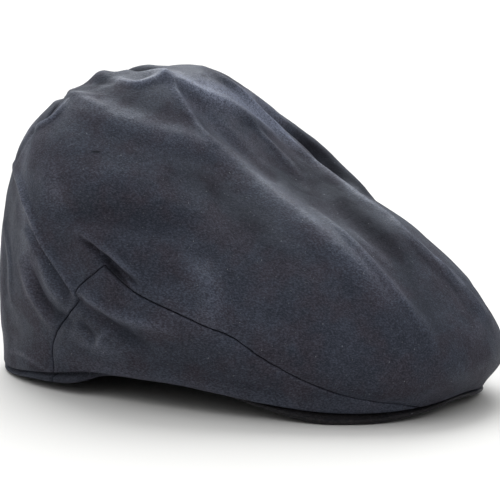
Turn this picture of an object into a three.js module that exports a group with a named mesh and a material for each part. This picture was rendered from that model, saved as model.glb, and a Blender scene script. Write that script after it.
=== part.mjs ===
// Flat cap of waxed cotton, standing by itself: a one-piece top that runs from the back hem over the crown and
// down to the peak, two wedge-shaped side panels, a stiff bowed peak and an inner band.
// Millimetres, +Z up. The peak points to -Y and the wearer's right is -X.
// The cap rests on the back of its band and on the two corners of its peak, so the sides of the hem arch up.
import * as THREE from 'three';

// Driving dimensions. "Around" is an angle in degrees: 0 at the back, 90 at the wearer's right, 180 at the peak.
const crownHeight = 152;
const backReach = 104.5; // from the axis of the crown to the hem at the back
const peakReach = 158.5; // from the same axis to the front edge of the cloth
const hemHalfWidth = 84;
const backRoundness = 2.45; // exponents of the two half outlines: 2 is an ellipse, more is squarer
const frontRoundness = 2.3;
const crownRadius = 44; // the ring near the top of the crown where crownZ is given

const cloth = { wall: 2.0, seamGap: 0.4, cell: 7.5 };
const band = { frontReach: 97, frontRoundness: 2.1, hemInset: 2.5, wall: 2.0, height: 26, segments: 72 };
const peak = { rootGap: 0.5, bow: 1.0, hornAround: 116, segments: 36, rows: 6 };
const look = {
  cloth: { color: '#3c3d47', roughness: 0.62, metalness: 0 },
  peak: { color: '#2b2b2f', roughness: 0.6, metalness: 0 },
  band: { color: '#34353d', roughness: 0.7, metalness: 0 },
};

// The shell of cloth, one row for each direction; both sides are alike.
// edgeZ is the height of its lower edge, bellyOut how far it bulges past that edge and bellyZ at what height.
const shellRows = [
  { around: 0, edgeZ: 4, bellyOut: 1.5, bellyZ: 54, shoulderR: 90, shoulderZ: 124, crownZ: 152 },
  { around: 35, edgeZ: 4, bellyOut: 1.5, bellyZ: 54, shoulderR: 88, shoulderZ: 127, crownZ: 153 },
  { around: 65, edgeZ: 7, bellyOut: 7, bellyZ: 58, shoulderR: 85, shoulderZ: 123, crownZ: 149 },
  { around: 90, edgeZ: 13, bellyOut: 11, bellyZ: 58, shoulderR: 80, shoulderZ: 112, crownZ: 139.5 },
  { around: 115, edgeZ: 13, bellyOut: 9, bellyZ: 50, shoulderR: 82, shoulderZ: 94, crownZ: 126.5 },
  { around: 130, edgeZ: 10.8, bellyOut: 7, bellyZ: 41, shoulderR: 88, shoulderZ: 84, crownZ: 119.5 },
  { around: 140, edgeZ: 8.2, bellyOut: 6, bellyZ: 34, shoulderR: 94, shoulderZ: 79, crownZ: 116.5 },
  { around: 152, edgeZ: 5.2, bellyOut: 6.5, bellyZ: 29, shoulderR: 105, shoulderZ: 78, crownZ: 114.5 },
  { around: 160, edgeZ: 4.8, bellyOut: 7.5, bellyZ: 26, shoulderR: 112, shoulderZ: 77.5, crownZ: 114 },
  { around: 170, edgeZ: 6.4, bellyOut: 8.5, bellyZ: 26, shoulderR: 119, shoulderZ: 77.5, crownZ: 113 },
  { around: 180, edgeZ: 8.5, bellyOut: 8.5, bellyZ: 26, shoulderR: 122, shoulderZ: 77.5, crownZ: 112.5 },
];

// The seam round a side panel; rise is the length of cloth between the hem and the seam.
const backSeamRows = [
  { around: 69, rise: 0 },
  { around: 70, rise: 14 },
  { around: 77, rise: 26 },
  { around: 86, rise: 38 },
  { around: 87, rise: 45 },
  { around: 96, rise: 58 },
];
const topSeamRows = [
  { around: 96, rise: 58 },
  { around: 105, rise: 47.5 },
  { around: 112, rise: 42.5 },
  { around: 126, rise: 35 },
  { around: 133, rise: 32 },
  { around: 140, rise: 24 },
  { around: 148, rise: 16 },
  { around: 156, rise: 9.5 },
  { around: 163, rise: 5 },
  { around: 169, rise: 0 },
];

// Height of the band's lower edge by direction.
const bandRows = [
  { around: 0, z: 0 },
  { around: 28, z: 0 },
  { around: 65, z: 2.6 },
  { around: 78, z: 7.2 },
  { around: 90, z: 12.8 },
  { around: 108, z: 12.4 },
  { around: 120, z: 10.8 },
  { around: 130, z: 10.8 },
  { around: 140, z: 12.4 },
  { around: 152, z: 14 },
  { around: 160, z: 16.5 },
  { around: 170, z: 20.5 },
  { around: 180, z: 22 },
];

// Underside of the peak at its outer rim and at its root, how far the rim stands past the cloth, and how thick
// the peak is: it thins out towards its two horns.
const peakRows = [
  { around: 116, rimZ: 10.8, rootZ: 10.9, overhang: -1.6, thickness: 1.0 },
  { around: 125, rimZ: 9.2, rootZ: 10.4, overhang: -1.4, thickness: 1.2 },
  { around: 132, rimZ: 6.6, rootZ: 10.8, overhang: -0.8, thickness: 1.6 },
  { around: 140, rimZ: 3.2, rootZ: 12.4, overhang: 0.2, thickness: 2.4 },
  { around: 147, rimZ: 0.6, rootZ: 13.2, overhang: 1.2, thickness: 3.0 },
  { around: 153, rimZ: 0, rootZ: 14.2, overhang: 1.6, thickness: 3.2 },
  { around: 160, rimZ: 0, rootZ: 16.5, overhang: 1.6, thickness: 3.2 },
  { around: 170, rimZ: 1.8, rootZ: 20.5, overhang: 1.6, thickness: 3.2 },
  { around: 180, rimZ: 4.0, rootZ: 22, overhang: 1.6, thickness: 3.2 },
];

// Folds and dents: height out of the smooth shell (minus is inward), width to each side of the path, and the
// path as x, y, z from the axis of the crown.
const folds = [
  { height: 3.6, width: 15, path: [
    [-45, 50, 144], [-59, 18, 138], [-55, -2, 133], [-41, -22, 126], [-27, -42, 114],
    [-34, -75, 96], [-38, -107, 78], [-35, -131, 61], [-29, -156, 38]] },
  { height: 3.4, width: 12, path: [
    [28, -38, 119], [32, -50, 109], [20, -77, 99], [12, -110, 86], [12, -140, 62], [18, -156, 43]] },
  { height: -5.5, width: 15, path: [
    [36, -8, 136], [46, -22, 124], [50, -40, 112], [46, -60, 102], [34, -80, 95]] },
  { height: -2.2, width: 13, path: [[-17, -48, 113], [-26, -90, 92], [-25, -124, 73], [-20, -152, 47]] },
  { height: 1.6, width: 11, path: [[-28, 7, 151], [-34, -12, 136], [-31, -28, 124]] },
  { height: -4.0, width: 12, path: [[-19, 37, 153], [-25, 26, 154], [-24, 19, 154]] },
  { height: -2.4, width: 11, path: [[-63, 50, 133], [-55, 48, 139], [-47, 51, 142]] },
  { height: 1.6, width: 11, path: [[-79, 54, 98], [-88, 37, 77], [-93, 20, 61], [-95, 7, 53]] },
  { height: -3.4, width: 11, path: [[-92, 5, 81], [-93, -7, 75], [-92, -22, 66], [-92, -29, 61]] },
  { height: 2.0, width: 11, path: [[-91, 4, 92], [-91, -10, 86], [-90, -26, 76], [-89, -38, 66]] },
  { height: 2.0, width: 11, path: [[-95, 4, 55], [-93, -16, 44], [-90, -42, 40], [-88, -60, 40]] },
  { height: -2.6, width: 14, path: [[-85, 38, 94], [-90, 12, 96], [-86, -8, 98], [-81, -23, 95]] },
  { height: 1.8, width: 13, path: [[-81, -53, 70], [-82, -68, 53]] },
  { height: 2.8, width: 16, path: [[76, -28, 100], [68, -52, 88], [58, -90, 68], [46, -122, 50]] },
  { height: -3.0, width: 13, path: [[62, 52, 131], [80, 44, 112], [90, 24, 82], [94, 8, 64]] },
  { height: -3.0, width: 12, path: [[93, -2, 78], [93, -22, 66], [90, -42, 54]] },
  { height: -2.0, width: 15, path: [[12, 92, 112], [22, 99, 84], [16, 103, 56]] },
];

const toRadians = THREE.MathUtils.degToRad;
const { clamp, lerp } = THREE.MathUtils;

// Value of a column between its rows by smooth cubic steps that never overshoot, the same on both sides.
function readColumn(rows, column, around) {
  const folded = Math.abs(((((around + 180) % 360) + 360) % 360) - 180);
  let i = 0;
  while (i < rows.length - 2 && rows[i + 1].around <= folded) i++;
  const slopeAt = (k) => {
    if (k === 0 || k === rows.length - 1) return 0;
    const before = rows[k - 1];
    const after = rows[k + 1];
    const level = (rows[k][column] - before[column]) * (after[column] - rows[k][column]) <= 0;
    return level ? 0 : (after[column] - before[column]) / (after.around - before.around);
  };
  const span = rows[i + 1].around - rows[i].around;
  const t = clamp((folded - rows[i].around) / span, 0, 1);
  const a = rows[i][column];
  const b = rows[i + 1][column];
  const ma = slopeAt(i) * span;
  const mb = slopeAt(i + 1) * span;
  const t2 = t * t;
  const t3 = t2 * t;
  return a * (2 * t3 - 3 * t2 + 1) + ma * (t3 - 2 * t2 + t) + b * (3 * t2 - 2 * t3) + mb * (t3 - t2);
}

function ovalRadius(around, halfLength, halfWidth, roundness) {
  const c = Math.abs(Math.cos(toRadians(around)));
  const s = Math.abs(Math.sin(toRadians(around)));
  return ((c / halfLength) ** roundness + (s / halfWidth) ** roundness) ** (-1 / roundness);
}

// Plan of the cloth's lower edge: the back half follows the head, the front half follows the peak.
function edgeRadius(around) {
  const atBack = Math.cos(toRadians(around)) > 0;
  return atBack
    ? ovalRadius(around, backReach, hemHalfWidth, backRoundness)
    : ovalRadius(around, peakReach, hemHalfWidth, frontRoundness);
}

const profileSteps = 48;
const profileCache = new Map();

// The cloth's profile in one direction, from its lower edge to the top of the crown, with lengths along it.
function profile(around) {
  const key = Math.round((((around % 360) + 360) % 360) * 50);
  if (profileCache.has(key)) return profileCache.get(key);
  const read = (column) => readColumn(shellRows, column, around);
  const edge = edgeRadius(around);
  const opposite = readColumn(shellRows, 'crownZ', around + 180);
  const curve = new THREE.CatmullRomCurve3([
    new THREE.Vector3(edge, 0, read('edgeZ')),
    new THREE.Vector3(edge + read('bellyOut'), 0, read('bellyZ')),
    new THREE.Vector3(read('shoulderR'), 0, read('shoulderZ')),
    new THREE.Vector3(crownRadius, 0, read('crownZ')),
    new THREE.Vector3(0, 0, crownHeight),
    new THREE.Vector3(-crownRadius, 0, opposite),
  ], false, 'centripetal');
  const points = [];
  const lengths = [0];
  for (let i = 0; i <= profileSteps; i++) {
    points.push(curve.getPoint((0.8 * i) / profileSteps));
    if (i > 0) lengths.push(lengths[i - 1] + points[i].distanceTo(points[i - 1]));
  }
  const made = { points, lengths, total: lengths[profileSteps] };
  profileCache.set(key, made);
  return made;
}

// A point on the smooth shell: rise is the length of cloth above the lower edge.
function smoothPoint(around, rise) {
  const { points, lengths, total } = profile(around);
  const wanted = clamp(rise, 0, total);
  let i = 1;
  while (i < profileSteps && lengths[i] < wanted) i++;
  const share = (wanted - lengths[i - 1]) / (lengths[i] - lengths[i - 1]);
  const p = points[i - 1].clone().lerp(points[i], share);
  const a = toRadians(around);
  return new THREE.Vector3(-p.x * Math.sin(a), p.x * Math.cos(a), p.z);
}

function smoothNormal(around, rise) {
  const before = smoothPoint(around - 1.5, rise);
  const ahead = smoothPoint(around + 1.5, rise);
  const under = smoothPoint(around, rise - 2);
  const above = smoothPoint(around, rise + 2);
  return ahead.sub(before).cross(above.sub(under)).normalize();
}

const foldPaths = folds.map((fold) => fold.path.map(([x, y, z]) => new THREE.Vector3(x, y, z)));
const nearest = new THREE.Vector3();
const segment = new THREE.Line3();

// Sum of all folds at a point; each dies away smoothly over its width.
function foldHeight(point) {
  let sum = 0;
  folds.forEach((fold, k) => {
    let distance = Infinity;
    for (let i = 1; i < foldPaths[k].length; i++) {
      segment.set(foldPaths[k][i - 1], foldPaths[k][i]).closestPointToPoint(point, true, nearest);
      distance = Math.min(distance, nearest.distanceTo(point));
    }
    if (distance < fold.width) sum += fold.height * Math.cos((Math.PI * distance) / (2 * fold.width)) ** 2;
  });
  return sum;
}

// Both skins of the cloth at one place. Folds fade out at the hem, where the cloth is held to band and peak.
function clothNode(around, rise, shift = new THREE.Vector3()) {
  const normal = smoothNormal(around, rise);
  const point = smoothPoint(around, rise);
  const lift = foldHeight(point) * THREE.MathUtils.smoothstep(rise, 2, 22);
  const outer = point.addScaledVector(normal, lift).add(shift);
  return { outer, inner: outer.clone().addScaledVector(normal, -cloth.wall) };
}

function curveThrough(rows, cells) {
  const curve = new THREE.CatmullRomCurve3(
    rows.map((row) => new THREE.Vector3(row.around, row.rise, 0)), false, 'centripetal');
  return curve.getSpacedPoints(cells).map((p) => ({ around: p.x, rise: Math.max(0, p.y) }));
}

// Half of the seam gap, across the seam and along the cloth, at each point of the whole side seam.
// Plus is towards the crown piece.
function seamShifts(seam) {
  const points = seam.map((p) => smoothPoint(p.around, p.rise));
  return seam.map((p, i) => {
    const normal = smoothNormal(p.around, p.rise);
    const into = points[i].clone().sub(points[Math.max(i - 1, 0)]).normalize();
    const out = points[Math.min(i + 1, seam.length - 1)].clone().sub(points[i]).normalize();
    const along = into.clone().add(out).normalize();
    const miter = 1 / Math.max(0.6, along.dot(out.lengthSq() > 0 ? out : into));
    return normal.cross(along).normalize().multiplyScalar((cloth.seamGap / 2) * miter);
  });
}

// Triangles between two rows of nodes, always across the shorter diagonal.
function stitch(nodes, a, b) {
  const faces = [];
  let i = 0;
  let j = 0;
  const apart = (p, q) => nodes[p].outer.distanceTo(nodes[q].outer);
  while (i < a.length - 1 || j < b.length - 1) {
    const canA = i < a.length - 1;
    const canB = j < b.length - 1;
    if (canA && (!canB || apart(a[i + 1], b[j]) <= apart(a[i], b[j + 1]))) {
      faces.push([a[i], a[i + 1], b[j]]);
      i++;
    } else {
      faces.push([a[i], b[j + 1], b[j]]);
      j++;
    }
  }
  return faces;
}

// A closed plate: outer skin, inner skin and a wall along every open edge of the outer skin.
function plate(name, nodes, faces, material) {
  const under = nodes.length;
  const index = [];
  const edges = new Set(faces.flatMap(([a, b, c]) => [`${a},${b}`, `${b},${c}`, `${c},${a}`]));
  for (const [a, b, c] of faces) {
    index.push(a, b, c, under + a, under + c, under + b);
    for (const [p, q] of [[a, b], [b, c], [c, a]]) {
      if (!edges.has(`${q},${p}`)) index.push(q, p, under + p, q, under + p, under + q);
    }
  }
  const geometry = new THREE.BufferGeometry().setFromPoints(
    [...nodes.map((node) => node.outer), ...nodes.map((node) => node.inner)]);
  geometry.setIndex(index);
  geometry.computeVertexNormals();
  const mesh = new THREE.Mesh(geometry, new THREE.MeshStandardMaterial(material));
  mesh.name = name;
  return mesh;
}

const backSeam = curveThrough(backSeamRows, 9);
const topSeam = curveThrough(topSeamRows, 25);
const sideSeam = [...backSeam, ...topSeam.slice(1)];
const sideShifts = seamShifts(sideSeam);
const mirrored = (v) => new THREE.Vector3(-v.x, v.y, v.z);

// Edge of the one-piece top on the wearer's right: back hem, side seam, front hem.
function crownEdge() {
  const first = backSeamRows[0].around;
  const last = topSeamRows[topSeamRows.length - 1].around;
  const backCells = 15;
  const frontCells = 4;
  const edge = [];
  for (let i = 0; i < backCells; i++) edge.push({ around: (first * i) / backCells, rise: 0 });
  sideSeam.forEach((p, i) => edge.push({ ...p, shift: sideShifts[i] }));
  for (let i = 1; i <= frontCells; i++) edge.push({ around: lerp(last, 180, i / frontCells), rise: 0 });
  return edge;
}

function crownTop() {
  const right = crownEdge();
  const left = right.slice(1, -1).reverse().map((p) => (
    { around: 360 - p.around, rise: p.rise, shift: p.shift && mirrored(p.shift) }));
  const edge = [...right, ...left, { ...right[0], around: 360 }];
  const readEdge = (t) => {
    const place = t * (edge.length - 1);
    const i = Math.min(Math.floor(place), edge.length - 2);
    return {
      around: lerp(edge[i].around, edge[i + 1].around, place - i),
      rise: lerp(edge[i].rise, edge[i + 1].rise, place - i),
    };
  };
  const towardsPole = (t, share) => {
    const start = readEdge(t);
    const around = lerp(start.around, 360 * t, Math.sqrt(share));
    return { around, rise: lerp(start.rise, profile(around).total, share) };
  };
  const nodes = edge.slice(0, -1).map((p) => clothNode(p.around, p.rise, p.shift));
  const faces = [];
  let ring = nodes.map((node, i) => i);
  const rings = 24;
  for (let r = 1; r < rings; r++) {
    const share = r / rings;
    let girth = 0;
    for (let i = 0; i < 60; i++) {
      const p = towardsPole(i / 60, share);
      const q = towardsPole((i + 1) / 60, share);
      girth += smoothPoint(p.around, p.rise).distanceTo(smoothPoint(q.around, q.rise));
    }
    const count = clamp(Math.round(girth / cloth.cell), 6, ring.length);
    const next = [];
    for (let i = 0; i < count; i++) {
      const p = towardsPole(i / count, share);
      next.push(nodes.push(clothNode(p.around, p.rise)) - 1);
    }
    faces.push(...stitch(nodes, [...ring, ring[0]], [...next, next[0]]));
    ring = next;
  }
  const normal = new THREE.Vector3();
  ring.forEach((i) => normal.add(nodes[i].outer).sub(nodes[i].inner));
  normal.normalize();
  const top = smoothPoint(0, Infinity);
  top.addScaledVector(normal, foldHeight(top));
  const pole = nodes.push({ outer: top, inner: top.clone().addScaledVector(normal, -cloth.wall) }) - 1;
  faces.push(...stitch(nodes, [...ring, ring[0]], [pole]));
  return plate('crown_top', nodes, faces, look.cloth);
}

// One side panel, in columns from the back seam to its front tip. Side 1 is the wearer's right, -1 the left.
function sidePanel(name, side) {
  const first = sideSeam[0].around;
  const last = sideSeam[sideSeam.length - 1].around;
  const nodes = [];
  const faces = [];
  const shiftOf = (i) => {
    const inward = sideShifts[i].clone().negate();
    return side > 0 ? inward : mirrored(inward);
  };
  const backCells = backSeam.length - 1;
  const columns = topSeam.length - 1;
  let column = [];
  for (let c = 0; c <= columns; c++) {
    const u = c / columns;
    const foot = lerp(first, last, u);
    const head = topSeam[c];
    const cells = Math.ceil(backCells * (1 - u));
    const next = [];
    for (let r = 0; r <= cells; r++) {
      const v = cells > 0 ? r / cells : 1;
      const swell = backSeam[Math.round(v * backCells)];
      const onSeam = v === 1 ? backCells + c : c === 0 ? r : -1;
      const fade = (1 - u) ** 3;
      const around = lerp(foot, head.around, v)
        + fade * (swell.around - lerp(first, backSeam[backCells].around, v));
      const rise = lerp(0, head.rise, v) + fade * (swell.rise - lerp(0, backSeam[backCells].rise, v));
      const place = onSeam < 0 ? { around, rise: Math.max(0, rise) } : sideSeam[onSeam];
      const shift = onSeam < 0 ? undefined : shiftOf(onSeam);
      next.push(nodes.push(clothNode(side * place.around, place.rise, shift)) - 1);
    }
    if (c > 0) faces.push(...(side > 0 ? stitch(nodes, next, column) : stitch(nodes, column, next)));
    column = next;
  }
  return plate(name, nodes, faces, look.cloth);
}

function polar(around, radius, z) {
  const a = toRadians(around);
  return new THREE.Vector3(-radius * Math.sin(a), radius * Math.cos(a), z);
}

// Outside of the inner band, which follows the head.
function bandRadius(around) {
  return Math.cos(toRadians(around)) > 0
    ? edgeRadius(around) - band.hemInset
    : ovalRadius(around, band.frontReach, hemHalfWidth - band.hemInset, band.frontRoundness);
}

function sweatband() {
  const nodes = [];
  const rows = [[], []];
  for (let i = 0; i < band.segments; i++) {
    const around = (360 * i) / band.segments;
    const radius = bandRadius(around);
    rows.forEach((row, k) => {
      const z = readColumn(bandRows, 'z', around) + k * band.height;
      const node = { outer: polar(around, radius, z), inner: polar(around, radius - band.wall, z) };
      row.push(nodes.push(node) - 1);
    });
  }
  const [lower, upper] = rows.map((row) => [...row, row[0]]);
  return plate('sweatband', nodes, stitch(nodes, lower, upper), look.band);
}

// The stiff peak: a crescent from the band to just past the cloth, its corners down and its tip raised.
function peakPlate() {
  const nodes = [];
  const faces = [];
  let rim = [];
  for (let r = peak.rows; r >= 0; r--) {
    const out = r / peak.rows;
    const row = [];
    for (let i = 0; i <= peak.segments; i++) {
      const around = lerp(peak.hornAround, 360 - peak.hornAround, i / peak.segments);
      const read = (column) => readColumn(peakRows, column, around);
      const radius = lerp(bandRadius(around) + peak.rootGap, edgeRadius(around) + read('overhang'), out);
      const z = lerp(read('rootZ'), read('rimZ'), out) + peak.bow * 4 * out * (1 - out);
      const node = { outer: polar(around, radius, z + read('thickness')), inner: polar(around, radius, z) };
      row.push(nodes.push(node) - 1);
    }
    if (r < peak.rows) faces.push(...stitch(nodes, rim, row));
    rim = row;
  }
  return plate('peak', nodes, faces, look.peak);
}

const group = new THREE.Group();
group.name = 'flat_cap';
group.add(crownTop(), sidePanel('side_panel_right', 1), sidePanel('side_panel_left', -1), peakPlate(), sweatband());

// Origin at the middle of the bounding box, on the floor.
const box = new THREE.Box3().setFromObject(group);
const middle = box.getCenter(new THREE.Vector3());
for (const mesh of group.children) mesh.geometry.translate(-middle.x, -middle.y, -box.min.z);

export default group;
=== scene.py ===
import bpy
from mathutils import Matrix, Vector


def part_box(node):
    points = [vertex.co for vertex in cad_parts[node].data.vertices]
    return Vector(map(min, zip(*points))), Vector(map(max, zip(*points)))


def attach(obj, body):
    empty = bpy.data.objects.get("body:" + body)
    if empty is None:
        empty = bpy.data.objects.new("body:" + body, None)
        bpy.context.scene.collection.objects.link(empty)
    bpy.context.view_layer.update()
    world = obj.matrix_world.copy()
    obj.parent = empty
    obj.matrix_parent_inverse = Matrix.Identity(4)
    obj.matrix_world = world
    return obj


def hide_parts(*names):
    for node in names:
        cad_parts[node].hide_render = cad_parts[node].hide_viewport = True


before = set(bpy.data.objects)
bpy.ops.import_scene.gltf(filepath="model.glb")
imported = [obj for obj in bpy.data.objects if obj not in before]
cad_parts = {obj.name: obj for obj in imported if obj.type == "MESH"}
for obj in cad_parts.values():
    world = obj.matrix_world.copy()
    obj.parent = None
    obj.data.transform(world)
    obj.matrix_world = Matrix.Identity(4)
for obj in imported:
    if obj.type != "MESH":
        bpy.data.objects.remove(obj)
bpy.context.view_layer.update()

# Waxed flat cap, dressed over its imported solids. Sizes are millimetres unless a note says otherwise,
# and become metres when a mesh is made. The peak points to -Y and the wearer's right is -X.
# "around" is an angle in degrees: 0 at the back, 90 at the wearer's right, 180 at the peak.
# "rise" is the length of cloth above the lower edge.
import math

import bpy
import numpy as np
from mathutils import Matrix, Vector, noise

print("stage 1: frame loaded")

mm = 0.001
mergeDistance = 0.000002  # metres

shell = {
    "crownHeight": 152,
    "crownRadius": 44,      # the ring near the top where crownZ is given
    "backReach": 104.5,
    "peakReach": 154.5,
    "hemHalfWidth": 84,
    "backRoundness": 2.45,  # 2 is an ellipse, more is squarer
    "frontRoundness": 2.3,
    "wall": 2.0,
    "seamGap": 0.4,
    "hemFlare": 1.6,        # the hem stands out a little round the back
    "flareHeight": 18,
    "stepAround": 0.25,     # spacing of the worked-out profiles, degrees
    "profileSteps": 400,
    "normalAround": 1.5,    # reach to each side when a normal is worked out, degrees
    "normalRise": 2,
    "hemFade": (2, 22),     # rise over which folds die away towards the hem
    "flareFade": (58, 84),  # degrees from the back over which the flare dies away
    "topShare": 0.985,      # share of the cloth's length that the last row of places has, beside the pole
    "rows": {
        "around": [0, 35, 65, 90, 115, 130, 140, 152, 160, 170, 180],
        "edgeZ": [4, 4, 8.6, 13, 13, 10.8, 8.2, 5.2, 4.8, 6.4, 8.5],
        "bellyOut": [1.5, 1.5, 7, 11, 9.2, 7.8, 7.6, 9, 10, 10.5, 10.5],
        "bellyZ": [54, 54, 58, 58, 50, 41, 34, 29, 26, 26, 26],
        "shoulderR": [90, 88, 85, 80, 82, 88, 94, 105, 112, 119, 122],
        "shoulderZ": [124, 127, 123, 112, 94, 84, 79, 78, 77.5, 77.5, 77.5],
        "crownZ": [152, 153, 149, 139.5, 126.5, 119.5, 116.5, 114.5, 114, 113, 112.5],
    },
}

# Where the crown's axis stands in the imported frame, from the inner band
bandInset = 2.5
bandLow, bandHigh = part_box("sweatband")
axisX = (bandLow.x + bandHigh.x) / 2 / mm
axisY = bandHigh.y / mm - (shell["backReach"] - bandInset)


# Smooth cubic steps between the rows of a table, never overshooting, the same on both sides
def readColumn(rows, column, around):
    x = np.array(rows["around"], float)
    y = np.array(rows[column], float)
    folded = np.clip(fromBack(around), x[0], x[-1])
    i = np.clip(np.searchsorted(x, folded, side="right") - 1, 0, len(x) - 2)
    slope = np.zeros(len(x))
    rising = (y[1:-1] - y[:-2]) * (y[2:] - y[1:-1]) > 0
    slope[1:-1] = np.where(rising, (y[2:] - y[:-2]) / (x[2:] - x[:-2]), 0)
    span = x[i + 1] - x[i]
    t = (folded - x[i]) / span
    a = y[i] * (2 * t**3 - 3 * t**2 + 1) + slope[i] * span * (t**3 - 2 * t**2 + t)
    return a + y[i + 1] * (3 * t**2 - 2 * t**3) + slope[i + 1] * span * (t**3 - t**2)


def readTable(rows, around):
    return {name: readColumn(rows, name, around) for name in rows if name != "around"}


def ovalRadius(around, halfLength, halfWidth, roundness):
    c = np.abs(np.cos(np.radians(around)))
    s = np.abs(np.sin(np.radians(around)))
    return ((c / halfLength) ** roundness + (s / halfWidth) ** roundness) ** (-1 / roundness)


def fromBack(around):
    return np.abs((np.asarray(around, float) + 180) % 360 - 180)


def edgeRadius(around):
    atBack = ovalRadius(around, shell["backReach"], shell["hemHalfWidth"], shell["backRoundness"])
    atFront = ovalRadius(around, shell["peakReach"], shell["hemHalfWidth"], shell["frontRoundness"])
    return np.where(np.cos(np.radians(around)) > 0, atBack, atFront)


# Points of a centripetal spline. knots is (..., count, size), and places run from 0 to 1 over the curve.
def splinePoints(knots, places):
    first = 2 * knots[..., :1, :] - knots[..., 1:2, :]
    last = 2 * knots[..., -1:, :] - knots[..., -2:-1, :]
    padded = np.concatenate([first, knots, last], axis=-2)
    spans = knots.shape[-2] - 1
    made = []
    for place in places:
        i = min(int(place * spans), spans - 1)
        w = place * spans - i
        p0, p1, p2, p3 = (padded[..., i + k, :] for k in range(4))
        d0, d1, d2 = (
            np.maximum(((b - a) ** 2).sum(-1, keepdims=True), 1e-9) ** 0.25
            for a, b in ((p0, p1), (p1, p2), (p2, p3))
        )
        m1 = ((p1 - p0) / d0 - (p2 - p0) / (d0 + d1) + (p2 - p1) / d1) * d1
        m2 = ((p2 - p1) / d1 - (p3 - p1) / (d1 + d2) + (p3 - p2) / d2) * d1
        made.append(
            p1 * (2 * w**3 - 3 * w**2 + 1) + m1 * (w**3 - 2 * w**2 + w)
            + p2 * (3 * w**2 - 2 * w**3) + m2 * (w**3 - w**2)
        )
    return np.stack(made, axis=-2)


# Length along a line of joined spots, at each spot
def runLength(spots):
    return np.append(0, np.cumsum(np.linalg.norm(np.diff(spots, axis=0), axis=1)))


# Points spread evenly along a curve
def evenPoints(points, places):
    length = runLength(points)
    wanted = np.asarray(places) * length[-1]
    return np.stack([np.interp(wanted, length, points[:, k]) for k in range(points.shape[1])], axis=1)


# Every profile of the shell, from its lower edge to the top of the crown, at even lengths
def workOutProfiles():
    around = np.arange(0, 360 + shell["stepAround"] / 2, shell["stepAround"])
    read = readTable(shell["rows"], around)
    edge = edgeRadius(around)
    flat = np.zeros_like(edge)
    radii = [edge, edge + read["bellyOut"], read["shoulderR"], flat + shell["crownRadius"], flat,
             flat - shell["crownRadius"]]
    heights = [read["edgeZ"], read["bellyZ"], read["shoulderZ"], read["crownZ"], flat + shell["crownHeight"],
               readColumn(shell["rows"], "crownZ", around + 180)]
    knots = np.stack([np.stack(radii, -1), np.stack(heights, -1)], -1)
    upToTop = (len(radii) - 2) / (len(radii) - 1)  # the last knot only steers the curve over the top
    points = splinePoints(knots, np.linspace(0, upToTop, shell["profileSteps"] + 1))
    steps = np.linalg.norm(np.diff(points, axis=1), axis=2)
    length = np.concatenate([np.zeros((len(around), 1)), np.cumsum(steps, axis=1)], axis=1)
    even = np.stack([
        evenPoints(points[k], np.linspace(0, 1, shell["profileSteps"] + 1)) for k in range(len(around))
    ])
    return even, length[:, -1]


profileGrid, profileLength = workOutProfiles()


def readAround(table, around):
    place = (np.asarray(around, float) % 360) / shell["stepAround"]
    i = np.minimum(place.astype(int), len(table) - 2)
    w = place - i
    return i, w


def clothLength(around):
    i, w = readAround(profileLength, around)
    return profileLength[i] * (1 - w) + profileLength[i + 1] * w


def smoothPoint(around, rise):
    around = np.asarray(around, float)
    i, w = readAround(profileGrid, around)
    place = np.clip(rise / clothLength(around), 0, 1) * shell["profileSteps"]
    j = np.minimum(place.astype(int), shell["profileSteps"] - 1)
    v = (place - j)[..., None]
    w = w[..., None]
    low = profileGrid[i, j] * (1 - w) + profileGrid[i + 1, j] * w
    high = profileGrid[i, j + 1] * (1 - w) + profileGrid[i + 1, j + 1] * w
    p = low * (1 - v) + high * v
    a = np.radians(around)
    return np.stack([-p[..., 0] * np.sin(a), p[..., 0] * np.cos(a), p[..., 1]], axis=-1)


def unit(vectors):
    return vectors / np.maximum(np.linalg.norm(vectors, axis=-1, keepdims=True), 1e-9)


def smoothNormal(around, rise):
    turn = shell["normalAround"]
    step = shell["normalRise"]
    sideways = smoothPoint(around + turn, rise) - smoothPoint(around - turn, rise)
    upward = smoothPoint(around, rise + step) - smoothPoint(around, rise - step)
    return unit(np.cross(sideways, upward))


def smoothStep(value, low, high):
    t = np.clip((value - low) / (high - low), 0, 1)
    return t * t * (3 - 2 * t)


# Where the photograph was taken from. The camera at the end uses it, and so do the paths of the folds.
photo = {
    "target": (0, -31, 66),   # from the crown's axis
    "azimuth": -54,
    "elevation": 9.5,
    "distance": 1200,
    "focalPixels": 2380,      # on a frame 500 pixels wide
    "pathPixels": 2360,       # the focal length that the paths of the folds were laid out with
    "frameWidth": 500,
    "centreX": 254,           # the picture's vanishing centre, pixels
    "centreY": 250,
    "gridStep": 1 / 3,        # degrees between the places looked through for a path
    "gridRows": 300,
    "sensor": 36,
}

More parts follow.
